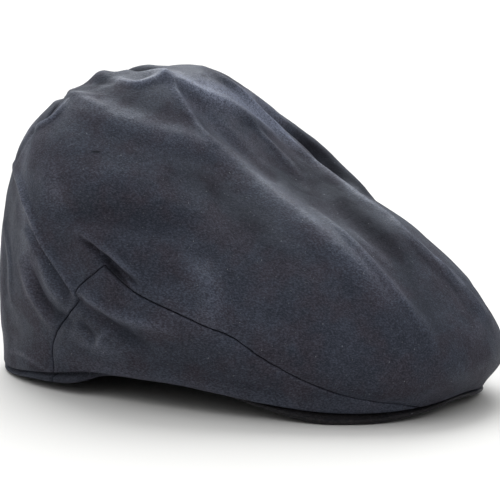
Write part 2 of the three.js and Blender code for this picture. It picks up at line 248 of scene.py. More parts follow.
# Folds, dents and drag lines. height is out of the shell and minus is inward, width is to each side of the
# path, sharp is 0 for a round swell and 1 for a crisp crease. shade is painted shade that darkens a deep one,
# and minus is a painted highlight that makes one paler, in places with rubbed wax as well. seen is a path
# followed over the photograph, as pixel x and y and a share of the height there, 1 if not given. path is one
# that it hardly shows, as x, y, z from the crown's axis and the share. both repeats a fold on the wearer's
# left.
folds = [
    # the long crest from the rear corner of the crown to the front, and the crisp line on its far side, with
    # a painted highlight along the crest band
    {"height": 4.2, "width": 15, "sharp": 0.3, "seen": [(66, 97, .3), (82, 105, .5), (100, 113, .55),
        (122, 121, .55), (145, 129, .55), (168, 136, .6), (190, 142, .7), (212, 151, .8), (236, 167, .9),
        (258, 186), (284, 206), (310, 228), (335, 251), (358, 272), (382, 297, .8), (405, 325, .5)]},
    {"width": 10, "shade": -0.6, "seen": [(100, 111, .2), (130, 122, .8), (158, 133, .9), (185, 142, .8),
        (212, 151, .6), (240, 166, .4), (265, 186, .5), (291, 208, .5), (316, 229, .6), (340, 250, .9),
        (362, 272), (384, 298, .6)]},
    {"height": 2.4, "width": 4.5, "sharp": 0.9, "shade": -0.25, "seen": [(312, 210, .3), (332, 226, .8),
        (350, 243), (365, 259), (378, 275), (391, 291), (404, 306), (416, 322), (428, 338, .8),
        (435, 352, .4)]},
    {"height": 1.1, "width": 4, "sharp": 0.6, "seen": [(345, 228, .4), (362, 241), (380, 257),
        (395, 270, .4)]},
    # creases and streaks over the top, with painted highlights on the pale bands there
    {"height": -1.5, "width": 7, "sharp": 0.2, "seen": [(186, 92, .5), (203, 110), (220, 130), (238, 150),
        (254, 167), (272, 183, .5)]},
    {"height": 1.6, "width": 4.5, "sharp": 0.6, "shade": -0.2, "seen": [(163, 74, .3), (174, 88),
        (183, 104), (193, 120), (203, 134), (214, 148, .6)]},
    {"height": 2.2, "width": 8, "sharp": 0.4, "shade": -0.45, "seen": [(150, 72, .5), (170, 78),
        (190, 88), (210, 98), (232, 108), (252, 120), (268, 132, .6)]},
    {"width": 14, "shade": -5, "seen": [(205, 80, .2), (214, 88, .6), (228, 96, .8), (243, 104),
        (259, 117), (275, 130), (290, 144, .4)]},
    {"width": 8, "shade": -2.6, "seen": [(176, 78, .3), (188, 84, .9), (201, 92), (215, 102),
        (232, 114, .5)]},
    {"width": 5, "shade": -0.7, "seen": [(163, 82, .6), (178, 96), (190, 114, .6), (200, 132, .3)]},
    {"height": 1.2, "width": 4, "sharp": 0.6, "seen": [(250, 122, .4), (262, 136), (275, 149), (290, 163),
        (303, 176, .4)]},
    # the far crest with a painted highlight along its line, and the valley on its near side with painted
    # shade
    {"height": 3.2, "width": 6.5, "sharp": 0.85, "shade": -0.3, "seen": [(204, 69, .2), (216, 77, .5),
        (230, 87, .9), (247, 102), (261, 117), (275, 131), (287, 144), (300, 156), (315, 168), (330, 179),
        (345, 190), (363, 202), (385, 216, .9), (407, 238, .8), (426, 256, .8), (443, 271, .8),
        (458, 288, .7), (473, 305, .6), (486, 322, .5)]},
    {"width": 2.6, "sharp": 0.4, "shade": -3.4, "seen": [(230, 86, .8), (247, 101), (261, 116),
        (275, 130), (287, 143), (300, 155), (315, 167, .8), (330, 178, .45), (345, 190, .3),
        (363, 202, .25), (385, 216, .2), (407, 236, .8), (426, 255, .8), (443, 270, .8), (458, 287, .6)]},
    {"width": 14, "shade": -0.9, "seen": [(180, 92, .5), (198, 106), (218, 122), (240, 140, .7),
        (262, 158, .3)]},
    {"width": 15, "shade": 0.7, "seen": [(286, 155, .2), (303, 167, .7), (320, 179), (338, 193),
        (357, 208), (380, 228, .8), (402, 250, .4)]},
    {"height": -2.4, "width": 14, "shade": 0.35, "seen": [(262, 150, 0), (290, 172), (320, 195),
        (350, 217), (380, 240), (408, 268, .7), (436, 305, .4)]},
    {"width": 5, "shade": 0.35, "seen": [(392, 226, .5), (412, 246), (432, 266), (452, 288),
        (468, 308, .5)]},
    # the rear quarter, with painted shade in its grooves and a painted highlight on its crest
    {"height": 2.2, "width": 4, "sharp": 0.8, "shade": -0.35, "seen": [(17, 165, .4), (22, 185),
        (28, 203), (35, 222), (42, 240), (51, 256), (62, 272), (72, 285), (77, 292, .6)]},
    {"height": -2.4, "width": 4.5, "sharp": 0.4, "shade": 0.45, "seen": [(30, 228, .4), (37, 243),
        (47, 259), (57, 274), (68, 290, .8)]},
    {"height": -1.5, "width": 10, "shade": 0.1, "seen": [(55, 225, .5), (66, 243), (80, 258, .6)]},
    {"height": -2, "width": 5, "sharp": 0.3, "shade": 0.45, "seen": [(30, 262, .4), (36, 280), (46, 300),
        (58, 313), (70, 321, .6)]},
    {"height": 1.5, "width": 6, "sharp": 0.4, "seen": [(22, 262, .4), (30, 285), (42, 308),
        (55, 326, .6)]},
    {"height": 1.5, "width": 6, "sharp": 0.4, "seen": [(42, 262, .5), (52, 285), (66, 304, .7)]},
    {"height": 1.2, "width": 3, "sharp": 0.7, "seen": [(12, 349, .5), (24, 353), (38, 360),
        (52, 369, .7)]},
    {"height": -1.6, "width": 6, "sharp": 0.2, "shade": 0.15, "seen": [(26, 358, .6), (40, 366),
        (50, 371, .6)]},
    {"height": 1.2, "width": 5, "sharp": 0.4, "seen": [(9, 225, .5), (12, 260), (14, 300, .5)]},
    # the side panel, with painted shade in its grooves, and paler places on its ridges that are partly rubbed
    # wax and partly painted highlight
    {"height": 2.6, "width": 7, "sharp": 0.45, "shade": -0.4, "both": True, "seen": [(80, 292, .7),
        (92, 301), (108, 311), (125, 317), (150, 324), (175, 332, .5)]},
    {"height": -2.4, "width": 6, "sharp": 0.4, "shade": 0.4, "both": True, "seen": [(83, 301, .7),
        (100, 314), (117, 327), (134, 338), (148, 347, .5)]},
    {"height": -1.6, "width": 4, "sharp": 0.3, "shade": 0.5, "both": True, "seen": [(84, 322, .6),
        (92, 334), (98, 346, .5)]},
    {"height": 1.4, "width": 3.5, "sharp": 0.5, "shade": -0.5, "both": True, "seen": [(97, 346, .5),
        (103, 336), (112, 328, .4)]},
    {"height": 1.2, "width": 10, "both": True, "seen": [(105, 352, .7), (125, 356, .7)]},
    {"width": 9, "shade": -0.9, "both": True, "seen": [(76, 336, .4), (90, 342), (106, 348),
        (122, 354, .4)]},
    # puckers where the side seam turns, with painted shade in the grooves and a painted highlight on the
    # crests
    {"height": -4.2, "width": 4.2, "sharp": 0.7, "shade": 0.6, "both": True, "seen": [(82, 238, .4),
        (90, 246), (99, 253), (109, 260), (121, 270), (134, 281, .4)]},
    {"height": 2.6, "width": 3.6, "sharp": 0.7, "shade": -0.25, "both": True, "seen": [(78, 229, .5),
        (88, 236), (100, 245), (113, 256), (126, 267), (140, 278, .4)]},
    {"height": 1.4, "width": 3, "sharp": 0.6, "both": True, "seen": [(84, 245, .5), (93, 252),
        (103, 259, .5)]},
    {"height": -1.6, "width": 2.6, "sharp": 0.6, "shade": 0.4, "both": True, "seen": [(104, 261, .5),
        (112, 269), (121, 279), (131, 288, .5)]},
    {"height": 1, "width": 2.2, "sharp": 0.6, "both": True, "seen": [(110, 262, .5), (120, 273),
        (130, 283), (140, 293, .5)]},
    # the rear corner of the crown, with painted shade in the slit and a painted highlight on the crest beside
    # it
    {"height": -3.8, "width": 2.8, "sharp": 0.8, "shade": 1.3, "seen": [(47, 118, .3), (54, 111),
        (61, 104), (66, 98, .6)]},
    {"height": 1.8, "width": 3.5, "sharp": 0.7, "shade": -1.6, "seen": [(33, 130, .4), (43, 125),
        (53, 119), (62, 112), (69, 104, .5)]},
    {"height": 1.2, "width": 4, "sharp": 0.5, "seen": [(68, 97, .4), (82, 97), (102, 98, .4)]},
    {"height": 1.2, "width": 5, "sharp": 0.4, "seen": [(75, 98, .5), (88, 104), (104, 110, .6)]},
    {"height": -1.8, "width": 6, "sharp": 0.1, "seen": [(80, 88, .4), (95, 84), (112, 83, .6)]},
    # the dent in the top and its rim, with painted shade in the dent and a painted highlight on the rim
    {"height": -4.8, "width": 8, "sharp": 0.2, "shade": 1.2, "seen": [(120, 70, .7), (133, 70),
        (147, 71, .8)]},
    {"height": 2, "width": 5, "sharp": 0.3, "shade": -2.4, "seen": [(115, 80, .2), (126, 83, .8),
        (138, 85), (152, 82), (164, 77, .5)]},
    # painted highlights and painted shade: paler and darker places where the light falls more or less
    {"width": 14, "shade": 0.3, "seen": [(85, 93, .6), (110, 91), (135, 100), (160, 110, .7),
        (178, 120, .3)]},
    {"width": 15, "shade": 0.5, "seen": [(176, 172, .4), (205, 185), (230, 202), (255, 223),
        (278, 248, .4)]},
    {"width": 16, "shade": -0.3, "seen": [(38, 148, .6), (44, 172), (58, 190, .7)]},
    {"width": 10, "shade": -0.6, "seen": [(30, 212, .6), (36, 240), (44, 268), (52, 290, .5)]},
    {"width": 12, "shade": -1, "seen": [(32, 126, .8), (28, 150), (25, 175), (26, 200), (27, 225),
        (28, 255), (30, 285, .6)]},
    {"width": 9, "shade": 0.8, "seen": [(84, 90, .5), (97, 85), (110, 81, .5)]},
    {"width": 9, "shade": -1.6, "seen": [(154, 73, .4), (168, 75), (186, 79), (204, 84, .9),
        (220, 89, .5)]},
    {"width": 12, "shade": -0.6, "seen": [(46, 178, .5), (54, 196), (62, 214, .4)]},
    {"width": 14, "shade": 0.5, "seen": [(258, 155, .3), (278, 172), (298, 190), (316, 208, .4)]},
    {"width": 13, "shade": 0.35, "seen": [(13, 190, .6), (9, 230), (8, 280), (10, 330), (14, 355, .6)]},
    {"width": 9, "shade": -0.8, "seen": [(72, 362, .5), (105, 370), (140, 378), (175, 386), (215, 396),
        (260, 404), (310, 407), (359, 408), (403, 403, .8), (437, 392, .4)]},
    {"width": 19, "shade": -0.5, "seen": [(160, 298, .5), (188, 308), (214, 318), (236, 330, .5)]},
    {"width": 9, "shade": 0.3, "seen": [(400, 262, .4), (412, 285), (424, 310), (434, 330, .4)]},
    # broad swells and hollows
    {"height": 1, "width": 12, "seen": [(48, 176, .5), (80, 175), (110, 177), (140, 183, .5)]},
    {"height": -4.2, "width": 12, "sharp": 0.1, "shade": 0.2, "seen": [(55, 206, .4), (75, 211),
        (95, 210), (115, 213), (145, 220), (185, 228, .4)]},
    {"height": 2.9, "width": 11, "sharp": 0.2, "shade": -0.35, "seen": [(185, 262, .4), (205, 282),
        (214, 302), (212, 320, .7)]},
    {"height": -1.5, "width": 9, "seen": [(150, 275, .4), (172, 286), (190, 300, .5)]},
    {"height": 1, "width": 9, "seen": [(240, 318, .4), (262, 330), (285, 342, .4)]},
    {"height": 1.8, "width": 26, "seen": [(13, 160, .4), (8, 195, .8), (6, 240), (5, 290), (6, 340, .8)]},
    {"height": 2.4, "width": 16, "seen": [(430, 252, .4), (450, 270, .9), (467, 288), (481, 309, .6)]},
    {"height": -1.6, "width": 16, "seen": [(165, 240, .5), (190, 258), (180, 272, .4)]},
    # a soft crest across the front
    {"height": 1, "width": 6, "sharp": 0.3, "seen": [(467, 344, .4), (476, 331), (479, 313, .5)]},
    # the far side, with the deep hollow beyond the far crest, painted shade on its far wall and a painted
    # highlight on the strip above it
    {"height": -8, "width": 11, "path": [(38, -10, 133, .5), (44, -17, 125, 1), (50, -24, 117, 1),
        (53, -34, 109, 1), (49, -50, 102, 1), (40, -68, 97, .5)]},
    {"width": 9, "shade": 1.15, "path": [(55, -14, 124, .1), (58, -20, 118, .5), (61, -27, 113, .8),
        (63, -34, 107, 1), (61, -42, 102, 1), (60, -51, 96, 1), (59, -58, 92, .9), (53, -64, 91, .8),
        (46, -69, 91, .5)]},
    {"width": 8, "shade": -3, "path": [(20, -2, 147, .3), (29, -6, 142, .8), (36, -5, 140, .9),
        (42, -5, 136, .9), (47, -8, 131, 1), (50, -11, 128, .9), (54, -14, 124, .2)]},
    {"height": 3.4, "width": 12, "sharp": 0.1, "path": [(56, -8, 126, 0), (64, -14, 119, .5),
        (67, -22, 111, 1), (66, -38, 101, .9), (62, -52, 93, .7), (50, -68, 91, .2)]},
    {"height": 2.8, "width": 16, "sharp": 0.2, "path": [(76, -28, 100, 1), (68, -52, 88, 1),
        (58, -90, 68, 1), (46, -122, 50, 1)]},
    {"height": -3, "width": 13, "sharp": 0.1, "path": [(62, 52, 131, 1), (80, 44, 112, 1),
        (90, 24, 82, 1), (94, 8, 64, 1)]},
    {"height": -3, "width": 12, "sharp": 0.1, "path": [(93, -2, 78, 1), (93, -22, 66, 1),
        (90, -42, 54, 1)]},
    {"height": -2, "width": 15, "path": [(12, 92, 112, 1), (22, 99, 84, 1), (16, 103, 56, 1)]},
    # the dent and the slit run on over the back of the crown, with painted shade in them
    {"height": -3.8, "width": 9, "sharp": 0.2, "shade": 0.7, "path": [(-18, 36, 153, .2),
        (-13, 48, 151, .8), (-5, 59, 148, .8), (5, 69, 143, .5), (15, 78, 135, 0)]},
    {"height": 1.8, "width": 6, "sharp": 0.3, "path": [(-30, 38, 152, .2), (-24, 50, 149, .9),
        (-16, 62, 145, .8), (-5, 73, 139, .4), (6, 82, 131, 0)]},
    {"height": -3.2, "width": 5, "sharp": 0.5, "shade": 0.6, "path": [(-46, 53, 142, .2),
        (-39, 61, 141, .9), (-31, 70, 138, .8), (-20, 79, 132, .5), (-8, 86, 124, 0)]},
    {"height": -2, "width": 6, "sharp": 0.3, "shade": 0.2, "path": [(-57, 55, 135, .1),
        (-63, 62, 127, .8), (-65, 70, 116, .6), (-64, 78, 102, .3), (-61, 84, 88, 0)]},
    # the swell of the crown behind its dent
    {"height": 3.8, "width": 14, "sharp": 0.1, "path": [(-32, 54, 146, .3), (-27, 46, 150, .7),
        (-20, 40, 152, 1), (-14, 33, 154, .9), (-6, 26, 155, .3)]},
]


def towardsCamera():
    a = math.radians(photo["azimuth"])
    e = math.radians(photo["elevation"])
    return np.array([math.sin(a) * math.cos(e), -math.cos(a) * math.cos(e), math.sin(e)])


# Places all over the shell that face the camera, and the pixel that shows each
def seenPlaces():
    columns = np.arange(0, 360, photo["gridStep"])
    rows = np.linspace(0, shell["topShare"], photo["gridRows"])
    around, share = np.meshgrid(columns, rows, indexing="ij")
    rise = share * clothLength(around)
    places = smoothPoint(around, rise)
    back = towardsCamera()
    eye = np.array(photo["target"]) + back * photo["distance"]
    facing = (smoothNormal(around, rise) * (eye - places)).sum(-1) > 0
    places = places[facing]
    right = unit(np.cross(-back, (0, 0, 1)))
    up = np.cross(right, -back)
    scale = photo["pathPixels"] / ((eye - places) @ back)
    across = photo["centreX"] + scale * ((places - eye) @ right)
    down = photo["centreY"] - scale * ((places - eye) @ up)
    return places, across, down


# A path over the photograph, laid on the shell to the nearest millimetre
def layPath(seen, places, across, down):
    laid = []
    for x, y, *share in seen:
        nearest = np.hypot(across - x, down - y).argmin()
        laid.append((*np.round(places[nearest]), share[0] if share else 1))
    return laid


shownPlaces = seenPlaces()
for fold in folds:
    if "seen" in fold:
        fold["path"] = layPath(fold["seen"], *shownPlaces)

# The repeats sit a little lower and further back
onBothSides = {"back": 3, "down": 2, "height": 0.8}
for fold in [one for one in folds if one.get("both")]:
    path = [(-x, y + onBothSides["back"], z - onBothSides["down"], share) for x, y, z, share in fold["path"]]
    folds.append({**fold, "height": fold.get("height", 0) * onBothSides["height"], "path": path})

foldForm = {
    "creaseRounding": 0.16,  # share of the width over which even a crisp crease is round
    "stepsPerKnot": 4,
    "roundCrest": 0.3,       # how much a round swell counts as a crest, paled as rubbed wax and painted highlight
}


# Height over a fold's width, where share is 0 on the path and 1 at the side
def foldShape(share, sharp):
    bell = np.cos(np.pi * share / 2) ** 2
    rounding = foldForm["creaseRounding"]
    q = (np.sqrt(share**2 + rounding**2) - rounding) / (math.sqrt(1 + rounding**2) - rounding)
    crease = (1 - q) ** 2
    return bell * (1 - sharp) + crease * sharp


# Lift of every point by all folds, and its crest value: above 0 paler, as rubbed wax and painted highlight,
# below 0 painted shade in a hollow
def foldLift(points):
    lift = np.zeros(len(points))
    crest = np.zeros(len(points))
    for fold in folds:
        height = fold.get("height", 0)
        sharp = fold.get("sharp", 0)
        path = np.array(fold["path"], float)
        path = splinePoints(path, np.linspace(0, 1, foldForm["stepsPerKnot"] * (len(path) - 1) + 1))
        spots = path[:, :3]
        reach = fold["width"]
        near = np.all((points > spots.min(0) - reach) & (points < spots.max(0) + reach), axis=1)
        p = points[near][:, None, :]
        a = spots[None, :-1]
        along = spots[None, 1:] - a
        t = np.clip(((p - a) * along).sum(-1) / (along**2).sum(-1), 0, 1)
        distance = np.linalg.norm(p - a - along * t[..., None], axis=-1)
        k = distance.argmin(1)
        rows = np.arange(len(k))
        share = np.minimum(distance[rows, k] / reach, 1)
        strength = path[k, 3] * (1 - t[rows, k]) + path[k + 1, 3] * t[rows, k]
        shape = foldShape(share, sharp) * np.maximum(strength, 0)
        lift[near] += height * shape
        # a ridge pales its crest, as rubbed wax and painted highlight; shade adds painted shade, or painted
        # highlight where minus
        if height > 0:
            crest[near] += shape**2 * min(1, sharp + foldForm["roundCrest"])
        crest[near] -= shape * fold.get("shade", 0)
    return lift, crest


# Gentle unevenness of the cloth, drawn out from the crown towards the peak
unevenness = {
    "slant": (0.45, 1.0, 0.6),
    "stretch": 0.45,
    "octaves": [(0.55, 34), (0.28, 15), (0.15, 6.5), (0.05, 3.2)],  # height, size
}


def clothWaves(points):
    slant = unit(np.array(unevenness["slant"]))
    squeezed = points - (points @ slant)[:, None] * slant * (1 - unevenness["stretch"])
    total = np.zeros(len(points))
    for height, size in unevenness["octaves"]:
        scaled = squeezed / size
        total += height * np.array([noise.noise(Vector(p)) for p in scaled])
    return total


# Distance of each point from a line of joined spots, worked out in batches to save memory
def nearestOnLine(points, line):
    batch = 4000
    a = line[None, :-1]
    along = line[None, 1:] - a
    best = np.zeros(len(points))
    for start in range(0, len(points), batch):
        p = points[start:start + batch, None, :]
        t = np.clip(((p - a) * along).sum(-1) / np.maximum((along**2).sum(-1), 1e-9), 0, 1)
        best[start:start + batch] = np.linalg.norm(p - a - along * t[..., None], axis=-1).min(1)
    return best


seam = {
    "back": [(69, 0), (70, 14), (77, 26), (86, 38), (87, 45), (96, 58)],  # around, rise
    "top": [(96, 58), (105, 47.5), (112, 42.5), (126, 35), (133, 32), (140, 24), (148, 16), (156, 9.5),
            (163, 5), (169, 0)],
    "backSamples": 60,
    "topSamples": 170,
    "fineSteps": 500,
    "pull": 0.7,          # how far the stitching draws the cloth in
    "pullWidth": 3.2,
    "pullFade": (0, 5),   # rise over which it starts from the hem
    "puckerHeight": 0.4,
    "puckerLength": 9,
    "puckerSlant": 0.6,   # how far the puckers lean
    "puckerGroup": 13,    # stronger and weaker ones come in turns
    "puckerPhase": 1.3,
    "puckerReach": 7,
    "puckerFade": (0, 6),
    "rub": 0.7,           # how pale the cloth is rubbed beside the stitching
    "rubWidth": 1.5,
    "rubPatch": (7, 5),   # the size of its patches, lengthways and in height
    "rubPhase": 0.8,
    "zMiddle": 40,        # only cloth within zReach of this height is near a seam
    "zReach": 60,
}


def seamCurve(rows, samples):
    fine = splinePoints(np.array(rows, float), np.linspace(0, 1, seam["fineSteps"]))
    places = evenPoints(fine, np.linspace(0, 1, samples + 1))
    places[:, 1] = np.maximum(places[:, 1], 0)
    return places


backSeam = seamCurve(seam["back"], seam["backSamples"])
topSeam = seamCurve(seam["top"], seam["topSamples"])
sideSeam = np.vstack([backSeam, topSeam[1:]])
seamLine = smoothPoint(sideSeam[:, 0], sideSeam[:, 1])


# Everything the cloth does at a place on the shell, for either side
def clothSurface(around, rise):
    base = smoothPoint(around, rise)
    normal = smoothNormal(around, rise)
    lift, crest = foldLift(base)
    lift += clothWaves(base)
    lift *= smoothStep(rise, *shell["hemFade"])
    atBack = 1 - smoothStep(fromBack(around), *shell["flareFade"])
    lift += shell["hemFlare"] * atBack * (1 - smoothStep(rise, 0, shell["flareHeight"]))
    mirrored = base * np.array([-1, 1, 1])
    facing = np.where((base[:, 0] < 0)[:, None], base, mirrored)
    y, z = facing[:, 1], facing[:, 2]
    close = np.abs(z - seam["zMiddle"]) < seam["zReach"]
    distance = np.full(len(base), float(seam["zReach"]))
    distance[close] = nearestOnLine(facing[close], seamLine[::3])
    draw = np.exp(-(distance / seam["pullWidth"]) ** 2) * smoothStep(rise, *seam["pullFade"])
    ripple = np.sin(2 * np.pi * (y + seam["puckerSlant"] * z) / seam["puckerLength"])
    ripple *= 0.5 + 0.5 * np.sin(y / seam["puckerGroup"] + seam["puckerPhase"])
    fade = np.exp(-(distance / seam["puckerReach"]) ** 2) * smoothStep(rise, *seam["puckerFade"])
    lift += seam["puckerHeight"] * ripple * fade - seam["pull"] * draw
    patchLength, patchHeight = seam["rubPatch"]
    patchy = 0.5 + 0.5 * np.sin(y / patchLength + seam["rubPhase"]) * np.sin(z / patchHeight)
    crest += seam["rub"] * np.exp(-(distance / seam["rubWidth"]) ** 2) * patchy
    return base + normal * lift[:, None], normal, crest


# Depth below the outer skin where an edge of the cloth rolls in
def rollDepth(distance):
    r = shell["wall"] / 2
    inside = np.clip(1 - distance / r, 0, 1)
    return r * (1 - np.sqrt(1 - inside**2))


def makeMesh(name, points, faces, uv, crest):
    placed = (np.asarray(points) + np.array([axisX, axisY, 0])) * mm
    mesh = bpy.data.meshes.new(name)
    mesh.from_pydata(placed.tolist(), [], faces)
    piece = bpy.data.objects.new(name, mesh)
    bpy.context.scene.collection.objects.link(piece)
    layer = mesh.uv_layers.new(name="clothUv")
    corner = np.zeros(len(mesh.loops), int)
    mesh.loops.foreach_get("vertex_index", corner)
    layer.data.foreach_set("uv", (np.asarray(uv)[corner] * mm).ravel())
    # the crest attribute: rubbed wax and painted highlight above 0, painted shade below
    wearAndPaintedLight = mesh.attributes.new("crest", "FLOAT", "POINT")
    wearAndPaintedLight.data.foreach_set("value", np.asarray(crest, float))
    bpy.ops.object.select_all(action="DESELECT")
    piece.select_set(True)
    bpy.context.view_layer.objects.active = piece
    bpy.ops.object.mode_set(mode="EDIT")
    bpy.ops.mesh.select_all(action="SELECT")
    bpy.ops.mesh.remove_doubles(threshold=mergeDistance)
    bpy.ops.object.mode_set(mode="OBJECT")
    bpy.ops.object.shade_smooth()
    return piece


def gridFaces(rows, columns, start=0, closed=False, flip=False):
    r = np.arange(rows - 1)[:, None]
    c = np.arange(columns if closed else columns - 1)[None, :]
    a = start + r * columns + c
    b = start + r * columns + (c + 1) % columns
    quads = np.stack([a, b, b + columns, a + columns], -1).reshape(-1, 4)
    return (quads[:, ::-1] if flip else quads).tolist()


crown = {
    "columnsHalf": 250,
    "backShare": 0.24,    # share of the half edge's columns that start on the back hem
    "frontShare": 0.035,
    "edgeSteps": [0, 0.1, 0.28, 0.55, 0.95, 1.5, 2.2, 3.1, 4.2, 5.5],
    "columnLength": 220,  # about the length of cloth from the edge to the top
    "apexCrowding": 1.3,  # more columns near the turn of the side seam
    "apexReach": 24,
    "rows": 140,
    "innerEdgeRows": [1, 2, 3, 4, 6, 8],
    "innerRows": 26,
    "fineSteps": 1000,
    "drift": 2.5,         # how soon a column turns from its seam to the top
    "gapRows": 10,        # rows over which the set-back of the edge fades
    "cornerReach": 0.3,   # degrees of hem beside the seam's end that are set back too
}


# Right half of the top's edge: back hem, side seam, front hem
def crownEdge():
    half = crown["columnsHalf"]
    backCount = int(half * crown["backShare"])
    frontCount = int(half * crown["frontShare"])
    seamCount = half - backCount - frontCount
    backHem = np.stack([np.linspace(0, sideSeam[0, 0], backCount + 1)[:-1], np.zeros(backCount)], 1)
    steps = runLength(seamLine)
    apex = steps[seam["backSamples"]]
    fine = np.linspace(0, steps[-1], crown["fineSteps"])
    crowding = 1 + crown["apexCrowding"] * np.exp(-((fine - apex) / crown["apexReach"]) ** 2)
    turned = np.cumsum(crowding) - crowding[0]
    wanted = np.interp(np.linspace(0, turned[-1], seamCount + 1), turned, fine)
    alongSeam = np.stack([np.interp(wanted, steps, sideSeam[:, k]) for k in (0, 1)], 1)
    last = sideSeam[-1, 0]
    frontHem = np.stack([np.linspace(last, 180, frontCount + 1)[1:], np.zeros(frontCount)], 1)
    return np.vstack([backHem, alongSeam, frontHem])


def makeCrown():
    right = crownEdge()
    left = right[1:-1][::-1] * np.array([-1, 1]) + np.array([360, 0])
    edge = np.vstack([right, left])
    count = len(edge)
    spots = smoothPoint(edge[:, 0], edge[:, 1])
    girth = runLength(np.vstack([spots, spots[:1]]))
    turn = 360 * girth[:-1] / girth[-1]
    near = np.array(crown["edgeSteps"])
    first = near / crown["columnLength"]
    share = np.append(first, np.linspace(first[-1], shell["topShare"], crown["rows"] - len(near) + 1)[1:])
    around = edge[None, :, 0] + (turn - edge[:, 0])[None, :] * (1 - (1 - share[:, None]) ** crown["drift"])
    total = clothLength(around)
    rise = edge[None, :, 1] + (total - edge[None, :, 1]) * share[:, None]
    rows = len(share)
    outer, normal, crest = clothSurface(around.ravel(), rise.ravel())
    outer = outer.reshape(rows, count, 3)
    normal = normal.reshape(rows, count, 3)
    crest = crest.reshape(rows, count)

    # the edge stands back half the seam gap, and its rim rolls in
    tangent = unit(np.roll(spots, -1, axis=0) - np.roll(spots, 1, axis=0))
    inward = unit(np.cross(normal[0], tangent))
    atCorner = np.abs(fromBack(edge[:, 0]) - sideSeam[0, 0]) < crown["cornerReach"]
    onSeam = ((edge[:, 1] > 0) | atCorner)[:, None]
    gap = inward * (shell["seamGap"] / 2) * onSeam
    fade = np.clip(1 - np.arange(rows) / crown["gapRows"], 0, 1)
    outer = outer + gap[None] * fade[:, None, None]
    line = np.vstack([outer[0], outer[:1, 0]])
    depth = np.zeros((rows, count))
    rolled = len(near) + 2
    base = outer[:rolled].reshape(-1, 3)
    depth[:rolled] = rollDepth(nearestOnLine(base, line)).reshape(rolled, count)
    skin = outer - normal * depth[..., None]
    inside = outer - normal * (shell["wall"] - depth)[..., None]
    inner = np.linspace(len(near), rows - 1, crown["innerRows"]).astype(int)
    picked = np.unique(np.append(crown["innerEdgeRows"], inner))
    inside = inside[picked]

    # one strip of rows from the outer top over the rim to the inner top, then the two poles
    strip = np.concatenate([skin[::-1], inside])
    flow = np.concatenate([crest[::-1], crest[picked] * 0])
    ringTop = normal[-1].mean(0)
    ringTop /= np.linalg.norm(ringTop)
    poleBase = np.array([[0, 0, shell["crownHeight"]]], float)
    poleLift = foldLift(poleBase)[0] + clothWaves(poleBase)
    outerPole = poleBase[0] + ringTop * poleLift[0]
    innerPole = outerPole - ringTop * shell["wall"]
    points = np.vstack([strip.reshape(-1, 3), outerPole[None], innerPole[None]])
    stripRows = len(strip)
    faces = gridFaces(stripRows, count, closed=True, flip=True)
    top = stripRows * count
    faces += [[i, (i + 1) % count, top] for i in range(count)]
    low = (stripRows - 1) * count
    faces += [[low + (i + 1) % count, low + i, top + 1] for i in range(count)]
    angle = np.radians(around)
    uvGrid = np.stack([(total - rise) * np.sin(angle), (total - rise) * np.cos(angle)], -1)
    uv = np.vstack([np.concatenate([uvGrid[::-1], uvGrid[picked]]).reshape(-1, 2), [[0, 0], [0, 0]]])
    return makeMesh("crown_cloth", points, faces, uv, np.concatenate([flow.ravel(), [0, 0]]))


crownCloth = makeCrown()
print("stage 2: crown made,", len(crownCloth.data.polygons), "faces")

panel = {
    "columns": 230,
    "columnStart": [0, 0.0009, 0.0022, 0.0042, 0.007, 0.011],  # the first ones, as shares of the hem
    "rows": 48,
    "edgeSteps": [0, 0.12, 0.32, 0.62, 1.0, 1.6],
    "columnLength": 40,  # about the length of cloth from the hem to the seam
    "gapRows": 8,
}


